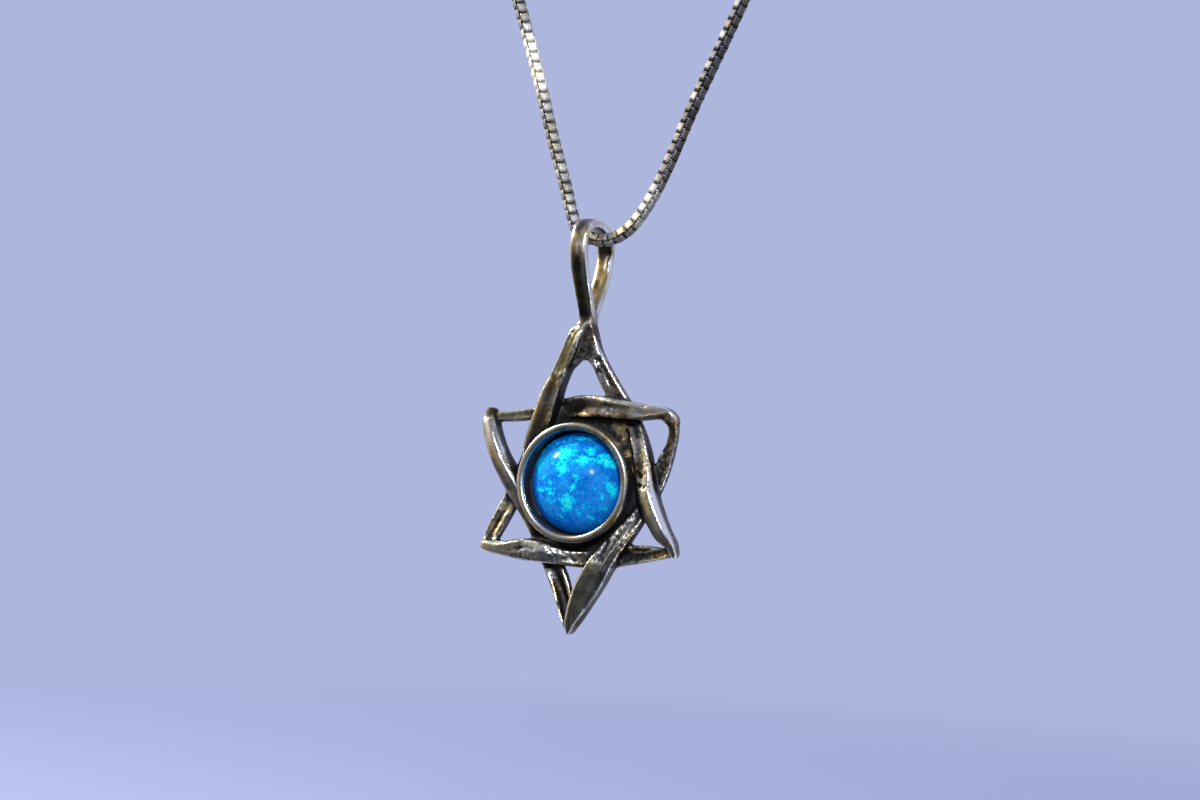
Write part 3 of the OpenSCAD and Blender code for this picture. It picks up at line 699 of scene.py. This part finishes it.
def swayed(tree, value, sway, amount):
    """value, raised and lowered by an amount of noise."""
    return maths(tree, "MULTIPLY_ADD", maths(tree, "SUBTRACT", sway, 0.5), amount, value)


# Worn and blackened silver, for every piece of metal. Shine is how bright the silver is made: how far
# it is rubbed, and on the star, bezel and chain also painted highlight and painted shade. Brass is how
# yellow its tarnish is, and soil and speckle how uneven both are.
finish = bpy.data.node_groups.new("worn silver", "ShaderNodeTree")
for name in ("Shine", "Brass", "Soil", "Speckle"):
    finish.interface.new_socket(name, in_out="INPUT", socket_type="NodeSocketFloat")
for name, kind in (("Color", "Color"), ("Roughness", "Float"), ("Height", "Float")):
    finish.interface.new_socket(name, in_out="OUTPUT", socket_type="NodeSocket" + kind)
given = finish.nodes.new("NodeGroupInput").outputs
place = place_mm(finish)
cloud = clouds(finish, place, 0.9, 4, 0.6)
specks = clouds(finish, place, 7.5, 3, 0.7)
elsewhere = {"Vector": place, "Scale": 0.55, "Detail": 3, "W": 4}
yellow = add(finish, "TexNoise", elsewhere, noise_dimensions="4D").outputs[0]
# the shine, painted highlight and painted shade included, made uneven by noise
wear_and_painted_light = swayed(finish, given["Shine"], cloud, given["Soil"])
wear_and_painted_light = swayed(finish, wear_and_painted_light, specks, given["Speckle"])
plain = ramp(
    finish, wear_and_painted_light,
    (0.0, 0.02, 0.022, 0.026), (0.25, 0.075, 0.079, 0.088), (0.45, 0.24, 0.24, 0.245),
    (0.65, 0.55, 0.55, 0.54), (0.9, 0.95, 0.95, 0.93),
)
gold = ramp(
    finish, wear_and_painted_light,
    (0.0, 0.018, 0.016, 0.013), (0.25, 0.08, 0.058, 0.03), (0.45, 0.27, 0.21, 0.1),
    (0.65, 0.6, 0.5, 0.26), (0.9, 0.95, 0.88, 0.64),
)
tint = maths(finish, "ADD", given["Brass"], spread(finish, yellow, 0.35, 0.7, -0.35, 0.8))
tinted = mix(finish, maths(finish, "MINIMUM", maths(finish, "MAXIMUM", tint, 0), 1), plain, gold)
put_out = finish.nodes.new("NodeGroupOutput")
finish.links.new(tinted, put_out.inputs["Color"])
finish.links.new(spread(finish, wear_and_painted_light, 0, 1, 0.55, 0.16), put_out.inputs["Roughness"])
finish.links.new(maths(finish, "MULTIPLY_ADD", specks, 0.4, cloud), put_out.inputs["Height"])


def worn_silver(name, shine, brass, soil, speckle, bump, least_rough=0):
    """A metal in the finish above. shine and brass are numbers, or names of values of the mesh."""
    bump_depth = 0.02 * mm
    material, tree, shader = new_material(name)
    group = tree.nodes.new("ShaderNodeGroup")
    group.node_tree = finish
    for socket, value in (("Shine", shine), ("Brass", brass), ("Soil", soil), ("Speckle", speckle)):
        if isinstance(value, str):
            source = add(tree, "Attribute", attribute_name=value).outputs["Fac"]
            tree.links.new(source, group.inputs[socket])
        else:
            group.inputs[socket].default_value = value
    shader.inputs["Metallic"].default_value = 1
    tree.links.new(group.outputs["Color"], shader.inputs["Base Color"])
    rough = maths(tree, "MAXIMUM", group.outputs["Roughness"], least_rough)
    tree.links.new(rough, shader.inputs["Roughness"])
    height = group.outputs["Height"]
    relief = add(tree, "Bump", {"Height": height, "Strength": bump, "Distance": bump_depth})
    tree.links.new(relief.outputs[0], shader.inputs["Normal"])
    return material


star_silver = worn_silver("blackened silver", "shine", "brass", 0.35, 0.6, 0.8)
star = new_piece("star", points, faces, star_silver)
melt = star.modifiers.new("melt", "REMESH")
melt.mode = "VOXEL"
melt.voxel_size = grain
melt.use_smooth_shade = True
# the well for the stone, drilled out of the melted bands
well_skin = barrel(bezel_r - bezel_wall / 2, floor_y + 0.1, floor_y - bore_h, 96)
well = new_piece("well", *well_skin, star_silver)
drill = star.modifiers.new("drill", "BOOLEAN")
drill.object = well
drill.solver = "MANIFOLD"
graph = bpy.context.evaluated_depsgraph_get()
cast = bpy.data.meshes.new_from_object(star.evaluated_get(graph))
star.modifiers.clear()
star.data = cast
bpy.data.objects.remove(well)


def values(held_by, what, width=3, kind=float):
    """What each point or edge of a mesh holds, such as its place, as rows of numbers."""
    held = np.empty(len(held_by) * width, kind)
    held_by.foreach_get(what, held)
    return held.reshape(-1, width)


def store(mesh, name, held):
    """Keeps a number for each point of a mesh, which a material reads by its name."""
    mesh.attributes.new(name, "FLOAT", "POINT").data.foreach_set("value", np.array(held, np.float32))


edges = values(cast.edges, "vertices", 2, int)
neighbours = np.bincount(edges.ravel(), minlength=len(cast.vertices))[:, None]


def blurred(held, times):
    """What the points hold, evened out with their neighbours a number of times."""
    for _ in range(times):
        total = np.stack([
            np.bincount(edges[:, 0], held[edges[:, 1], k], len(held))
            + np.bincount(edges[:, 1], held[edges[:, 0], k], len(held))
            for k in range(held.shape[1])
        ], axis=1)
        held = (held + total) / (1 + neighbours)
    return held


# The strokes are drawn on the points that face the front and lie near the stroke's own face
place = blurred(values(cast.vertices, "co"), 2)
normal = values(cast.vertex_normals, "vector")
gain = np.zeros(len(place))
gild = np.zeros(len(place))
front_on = np.clip(0.4 - 1.5 * normal[:, 1], 0, 1)
flat = place[:, (0, 2)]
for face_y, half_width, rise, shine, brass, line in strokes:
    line = np.array(line, float)
    far = np.full(len(flat), np.inf)
    for a, b in zip(line, line[1:]):
        ab = b - a
        share = np.clip((flat - a) @ ab / (ab @ ab + 1e-9), 0, 1)
        far = np.minimum(far, np.hypot(*(flat - a - share[:, None] * ab).T))
    depth = np.clip(1.6 - np.abs(place[:, 1] - face_y) / 0.5, 0, 1)
    touch = front_on * depth * np.exp(-(far / half_width) ** 2)
    wide = front_on * depth * np.exp(-(far / half_width / 1.3) ** 2)
    place[:, 1] -= rise * touch
    # the strokes' shine: rubbing and oxide, and painted highlight and painted shade
    gain += shine * wide
    gild += brass * wide
place = blurred(place, 2)

# Rough spots of the casting, each point as rough as the nearest mark. Its pits go in further than
# its lumps stand out, and the whole face swells and sinks a little.
pit_depth = 0.055
lump_top = 0.12
swell_h = 0.03
nearest = kdtree.KDTree(len(marks))
for i, (at, rough) in enumerate(marks):
    nearest.insert(at, i)
nearest.balance()
pits = np.array([marks[nearest.find(p)[1]][1] for p in place])
lumps = np.array([noise.noise(Vector(p) * 3.1) + 0.6 * noise.noise(Vector(p) * 6.7) for p in place])
swell = np.array([noise.noise(Vector(p) * 0.8 + Vector((7, 3, 5))) for p in place])
pits = blurred(pits[:, None], 6)[:, 0]
dent = np.minimum(lumps, lump_top)
place = place + normal * (pit_depth * pits * dent * (0.3 + 0.7 * front_on) + swell_h * swell)[:, None]

# How hidden each point is from the light, within a few millimetres. The bezel's wall counts too,
# without the two caps that close its skin.
shade_reach = 4
shade_full = 3.2
wall_points, wall_faces = barrel(bezel_r, back_y, floor_y - cup_h, 32)
cast_faces = [tuple(f.vertices) for f in cast.polygons]
shell = bvhtree.BVHTree.FromPolygons(
    [tuple(p) for p in place] + wall_points,
    cast_faces + [tuple(i + len(place) for i in f) for f in wall_faces[:-2]],
)
ways = [
    Vector((math.cos(2.4 * i) * math.sqrt(1 - z * z), math.sin(2.4 * i) * math.sqrt(1 - z * z), z))
    for i, z in enumerate(np.linspace(-0.93, 0.93, 14))
]
hidden = np.zeros(len(place))
for i, (p, n) in enumerate(zip(place, normal)):
    n = Vector(n)
    start = Vector(p) + n * 0.05
    for way in ways:
        if way.dot(n) > 0.15:
            reach = shell.ray_cast(start, way, shade_reach)[3]
            if reach is not None:
                hidden[i] += (1 - reach / shade_reach) * way.dot(n)
hidden = blurred(hidden[:, None], 2)[:, 0] / shade_full

# Edges and swellings are rubbed bright, and hollows, pits and hidden places stay black. The upright
# sides of the bands get painted shade, darker the more side-on they face, but not the bail's.
ridge = ((place - blurred(place, 6)) * normal).sum(1)
bulge = ((place - blurred(place, 40)) * normal).sum(1)
shine = 0.5 + 7 * ridge + 1.6 * bulge - hidden - 0.12 * pits + 0.3 * pits * lumps
# painted shade on the bands' upright sides, below the top corner where the bail starts
painted_side_shade = np.clip(1 - 2.2 * np.abs(normal[:, 1]), 0, 1) * (place[:, 2] < at_top[1])
store(cast, "shine", np.clip(shine + gain - 0.25 * painted_side_shade, 0, 1))
store(cast, "brass", 0.05 + gild)
place = place * mm + np.array(star_at)
cast.vertices.foreach_set("co", place.ravel())
cast.update()
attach(star, "pendant")
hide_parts("star_frame")

# Bezel. A collar of plain silver strip, soldered upright on the plate round the stone, with its rim
# filed flat and rounded over. It is worn satin on top, duller inside and blackened outside, with a
# painted highlight brighter on one side of the rim.
cup_r = bezel_r - bezel_wall
middle_r = (cup_r + bezel_r) / 2
cup_fillet = 0.22
cup_wall_h = 1.4
outer_wall_h = 2.1
rim_y = floor_y - cup_h
rim_round = 0.24
rim_steps = 16
bezel_sides = 192

# its section from the cup's floor over the rim and down to the back: distance from the opal's
# middle line, and y
profile = [(cup_r - 0.14, floor_y + 0.05), (cup_r - 0.12, floor_y - 0.1), (cup_r, floor_y - cup_fillet)]
profile += [(cup_r, floor_y - cup_fillet - cup_wall_h * s / 6) for s in range(1, 7)]
for step in range(rim_steps + 1):
    u = math.cos(math.pi * step / rim_steps)
    v = math.sin(math.pi * step / rim_steps)
    r = middle_r - bezel_wall / 2 * math.copysign(abs(u) ** 0.85, u)
    profile.append((r, rim_y + rim_round * (1 - v)))
profile += [(bezel_r, rim_y + rim_round + outer_wall_h * s / 8) for s in range(1, 9)]
profile += [(bezel_r + 0.02, back_y - 0.15), (cup_r, back_y - 0.15)]

points = []
shine = []
for i in range(bezel_sides):
    turn = 2 * math.pi * i / bezel_sides
    # the rim is rubbed most, and a painted highlight makes it brighter on one side
    painted_rim_highlight = 0.12 * math.cos(turn - math.radians(200)) + 0.08 * math.cos(2 * turn)
    for r, y in profile:
        points.append(tuple(Vector((r * math.cos(turn), y, r * math.sin(turn))) * mm + star_at))
        within = 0.18 if r < middle_r else 0
        shine.append(0.3 + within + (0.28 - within + painted_rim_highlight) * math.exp(-((y - rim_y) / 0.3) ** 2))
bezel_silver = worn_silver("bezel silver", "shine", 0.1, 0.8, 0.8, 0.7)
bezel = new_piece("bezel", points, quads(bezel_sides, len(profile), closed=True), bezel_silver)
store(bezel.data, "shine", shine)
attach(bezel, "pendant")
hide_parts("star_frame")

# Opal. A round cabochon of blue opal, flat behind and domed in front, polished and set on the floor
# of the bezel. Blue all through, deep at its edge, with grainy patches that flash turquoise. It has a
# faint painted glow of its own colour.
opal_r = 4
dome_h = 2.3
girdle_h = 0.4
seat_y = floor_y - 0.03
dome_y = seat_y - girdle_h - dome_h
dome_r = (opal_r ** 2 + dome_h ** 2) / (2 * dome_h)
dome_rows = 64
opal_sides = 160
edge_from = 3
edge_w = 0.95
# the patches: across, up, half width, half height, lean in degrees, strength
flecks = (
    (-0.4, 2.2, 0.73, 0.59, 10, 1), (-0.5, 1.2, 0.43, 0.7, 10, 1), (-0.6, 0.6, 0.19, 0.26, 0, 0.8),
    (-1.4, 1.6, 0.62, 0.41, 0, 0.5), (1.1, 1.8, 0.62, 0.4, 0, 1), (1.5, 2.5, 0.45, 0.35, 0, 0.75),
    (1.8, 2.9, 0.29, 0.16, 0, 0.6), (2.8, 1.8, 0.86, 0.33, -8, 1), (2.5, 2.2, 0.41, 0.21, 0, 0.8),
    (3.1, 1.5, 0.46, 0.19, 0, 0.8), (-1.5, 3.1, 0.54, 0.12, 20, 0.7), (-0.7, 3.3, 0.69, 0.14, 15, 0.5),
    (0.4, 3.5, 0.55, 0.16, 10, 0.65), (1.1, 3.6, 0.42, 0.12, -10, 0.5),
    (-2.8, 2.6, 1.1, 0.16, 40, 0.5), (-3, 1.3, 0.47, 0.53, -15, 0.8),
    (-2.2, 0.3, 0.26, 0.28, -10, 0.8), (-2.5, -0.7, 0.44, 0.21, 0, 0.8),
    (-1.7, -0.6, 0.66, 0.16, 0, 0.75), (-1.5, -0.2, 0.16, 0.3, 0, 0.75),
    (-1.4, -0.9, 0.34, 0.23, 0, 0.8), (-1.6, -1.5, 0.29, 0.33, -20, 0.7),
    (-1.2, -1.5, 0.39, 0.11, 0, 0.7), (0.7, 0.6, 0.24, 0.18, 0, 0.7), (0.8, 0.2, 0.17, 0.23, 0, 0.6),
    (0.6, -0.4, 0.27, 0.54, -25, 0.75), (0, -1.3, 0.56, 0.42, 0, 1),
    (0.2, -1.8, 0.45, 0.38, 0, 1), (-0.3, -2, 0.29, 0.42, 0, 0.9), (-0.7, -2.7, 0.16, 0.21, 0, 0.8),
    (-1, -2.6, 0.2, 0.12, 0, 0.6), (3.2, -0.1, 0.37, 0.19, -35, 0.9),
    (3.4, -0.5, 0.25, 0.4, -10, 0.9), (2.7, -1.1, 0.12, 0.28, 0, 0.7), (2.1, -0.4, 0.35, 0.09, 0, 0.5),
    (2.7, -1.9, 0.33, 0.13, -15, 0.85), (1.7, -2.6, 0.3, 0.11, -30, 0.8),
    (2.1, -2.8, 0.19, 0.06, -20, 0.6), (1, -2.3, 0.29, 0.21, 0, 0.6),
    (1.6, -1.8, 0.65, 0.26, 0, 0.45), (1.4, -0.8, 0.11, 0.11, 0, 0.6), (0.1, 2.5, 0.38, 0.29, 0, 0.4),
    (1.4, 1.1, 0.24, 0.12, 0, 0.4),
)
opal_blue, tree, shader = new_material("polished blue opal")
patch = add(tree, "Attribute", attribute_name="fleck").outputs["Fac"]
place = place_mm(tree)
crumbs = clouds(tree, place, 2.6, 3, 0.7)
grains = add(tree, "TexVoronoi", {"Vector": place, "Scale": 5.5}).outputs["Distance"]
deep = clouds(tree, place, 0.6, 2)
flash = swayed(tree, patch, crumbs, 1.7)
flash = maths(tree, "MULTIPLY_ADD", maths(tree, "SUBTRACT", 0.45, grains), 0.8, flash)
rim_shade = add(tree, "Attribute", attribute_name="edge").outputs["Fac"]
depth = maths(tree, "MULTIPLY_ADD", crumbs, 0.5, maths(tree, "MULTIPLY", deep, 0.5))
body = mix(tree, spread(tree, depth, 0.4, 0.6), (0.001, 0.07, 0.27, 1), (0.01, 0.14, 0.36, 1))
body = mix(tree, rim_shade, body, (0.0, 0.045, 0.22, 1))
bright = ramp(
    tree, spread(tree, flash, 0.3, 1.1),
    (0, 0.002, 0.17, 0.41), (0.4, 0.0, 0.3, 0.43), (1, 0.02, 0.45, 0.38),
)
colour = mix(tree, spread(tree, flash, 0.2, 0.5), body, bright)
tree.links.new(colour, shader.inputs["Base Color"])
# painted glow: the stone gives out a little of its own colour as light
tree.links.new(colour, shader.inputs["Emission Color"])
shader.inputs["Emission Strength"].default_value = 0.2
shader.inputs["Specular IOR Level"].default_value = 0
shader.inputs["Roughness"].default_value = 0.35
shader.inputs["Coat Weight"].default_value = 0.05
shader.inputs["Coat Roughness"].default_value = 0.14

# rings of points from the seat, up the girdle and over the dome, with a point at each end
rings = [(opal_r - 0.1, seat_y), (opal_r, seat_y - 0.1), (opal_r, seat_y - girdle_h)]
for i in range(1, dome_rows):
    r = opal_r * math.cos(math.pi / 2 * i / dome_rows)
    rings.append((r, dome_y + dome_r - math.sqrt(dome_r ** 2 - r * r)))
points = [(0, seat_y, 0)]
for r, y in rings:
    points += [(x, y, z) for x, z in circle(r, opal_sides)]
points.append((0, dome_y, 0))
top = len(points) - 1
last = top - opal_sides
pairs = [(i, (i + 1) % opal_sides) for i in range(opal_sides)]
faces = [(0, 1 + i, 1 + j) for i, j in pairs]
faces += (1 + np.array(quads(len(rings), opal_sides))[:, (0, 3, 2, 1)]).tolist()
faces += [(last + i, top, last + j) for i, j in pairs]
opal = new_piece("opal_stone", [tuple(Vector(p) * mm + star_at) for p in points], faces, opal_blue)
fleck = []
edge = []
for x, y, z in points:
    strength = 0
    for cx, cz, w, h, lean, power in flecks:
        dx = x - cx
        dz = z - cz
        c = math.cos(math.radians(lean))
        s = math.sin(math.radians(lean))
        far = ((dx * c + dz * s) / w) ** 2 + ((dz * c - dx * s) / h) ** 2
        strength = max(strength, power * math.exp(-far * 0.7))
    fleck.append(strength)
    edge.append(min(1, max(0, (math.hypot(x, z) - edge_from) / edge_w)) ** 1.5)
store(opal.data, "fleck", fleck)
store(opal.data, "edge", edge)
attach(opal, "pendant")
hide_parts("opal")

# Chain. A fine box chain of silver: short square links of flat strip, each turned a quarter from
# the one before. It runs through the bail, and a longer link ties each end to its end ring.
hang = (0, -187)
route = [
    (-13, 0.3), (-25, -6), (-35.5, -15), (-43.5, -27), (-48.5, -41.5), (-49, -57), (-44, -76),
    (-36, -97), (-27.5, -118.5), (-19.5, -138.5), (-12.8, -155), (-8.4, -166), (-6, -172.6),
    (-4.2, -178.3), (-2.8, -182.3), (-1.9, -185.1), (-1.2, -186.5), hang, (1.2, -187.1),
    (2.4, -186.7), (3.5, -185.8), (4.8, -183.9), (6.2, -181), (8.2, -176), (11.2, -169.2),
    (15.5, -159), (21.5, -144), (29, -124), (36.5, -102), (43.5, -79), (48.3, -58), (48.5, -41.5),
    (43.5, -27), (35.5, -15), (25, -6), (13, 0.3),
]
ring_x = 4.3
clasp_z = 1.5
chain_end = 1.6
pitch = 0.44
first = 0.42
link_l = 0.82
end_link_l = 1.27
end_link_x = 5.665
end_shine = 0.95
link_w = 1.0
strip_t = 0.17
strip_w = 0.62
bend_r = 0.2
line = finer([(-ring_x - chain_end, clasp_z)] + route + [(ring_x + chain_end, clasp_z)], 24)
steps = np.hypot(*np.diff(line, axis=0).T)
along = np.concatenate(([0], np.cumsum(steps)))
whole = along[-1]
link_count = 2 * round((whole - 2 * first) / pitch / 2) + 1
places = np.linspace(first, whole - first, link_count)


def on_line(places):
    """The points of the chain's middle line at these distances along it."""
    return np.stack([np.interp(places, along, line[:, k]) for k in range(2)], axis=1)


way = on_line(places + 0.2) - on_line(places - 0.2)
way /= np.hypot(*way.T)[:, None]


def link(length, width):
    """A link's points and faces: a square loop of flat strip, length along x and width across y."""
    strip = section(8, 0.6)
    points = []
    for sx, sy, start in ((1, 1, 0), (-1, 1, 90), (-1, -1, 180), (1, -1, 270)):
        for turn in (0, 45, 90):
            a = math.radians(start + turn)
            x = sx * (length / 2 - bend_r) + bend_r * math.cos(a)
            y = sy * (width / 2 - bend_r) + bend_r * math.sin(a)
            for u, v in strip:
                deep = strip_t / 2 * (u - 1)
                points.append((x + math.cos(a) * deep, y + math.sin(a) * deep, v * strip_w / 2))
    faces = np.array(quads(len(points) // len(strip), len(strip), closed=True))
    return np.array(points), faces[:, (0, 3, 2, 1)]


link_points, link_faces = link(link_l, link_w)
# how many degrees the chain is twisted, at places along it: none at its ends
low = along[np.hypot(*(line - hang).T).argmin()]
twist = (
    (0, 0), (6, 27), (low - 27, 27), (low - 20, 40), (low - 5, 40), (low + 6, 14), (low + 14, 30),
    (whole - 8, 30), (whole, 0),
)
roll = np.radians(np.interp(places, *zip(*twist)))
# how bright each link is painted, as highlight and shade: most in a stretch of the left strand, and
# least up the right one
painted_chain_light = (
    (low - 40, 0.46), (low - 20, 0.43), (low - 18, 0.78), (low - 14.5, 0.78), (low - 12.5, 0.47),
    (low + 1, 0.46), (low + 6, 0.54), (low + 9, 0.28), (low + 30, 0.26), (low + 40, 0.46),
)
# the painted highlight and shade of each link
wear_and_painted_light = np.interp(places, *zip(*painted_chain_light))
shine = []
points = []
faces = []
for k, (x, z) in enumerate(on_line(places)):
    # each link a little brighter or duller than the next
    shine += [wear_and_painted_light[k] + 0.04 * math.sin(7.3 * k)] * len(link_points)
    ahead = np.array((way[k][0], 0, way[k][1]))
    flat = np.array((-way[k][1], 0, way[k][0]))
    deep = np.array((0, 1, 0))
    turn = roll[k] + (k % 2) * math.pi / 2
    one = flat * math.cos(turn) + deep * math.sin(turn)
    two = deep * math.cos(turn) - flat * math.sin(turn)
    faces.append(link_faces + len(points) * len(link_points))
    points.append((x, 0, z) + link_points @ np.stack((ahead, one, two)))
# the two longer links at the ends, each through its end ring
end_points, end_faces = link(end_link_l, link_w)
for x in (-end_link_x, end_link_x):
    faces.append(end_faces + len(points) * len(link_points))
    points.append((x, 0, clasp_z) + end_points)
    shine += [end_shine] * len(end_points)
points = np.concatenate(points) * mm
faces = np.concatenate(faces)
chain_silver = worn_silver("chain silver", "shine", 0.1, 0.35, 0.4, 0.2, 0.62)
chain = new_piece("chain_links", points.tolist(), faces.tolist(), chain_silver, smooth=False)
store(chain.data, "shine", shine)
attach(chain, "necklace")
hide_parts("chain")

# Clasp and end rings. A plain ring clasp with its eye, and two jump rings of round wire that tie it
# to the chain. Polished silver, a little tarnished.
clasp_silver = worn_silver("clasp silver", 0.9, 0.1, 0.2, 0.15, 0.2)
for name in ("clasp", "end_ring_left", "end_ring_right"):
    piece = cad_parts[name]
    piece.data.materials.clear()
    piece.data.materials.append(clasp_silver)
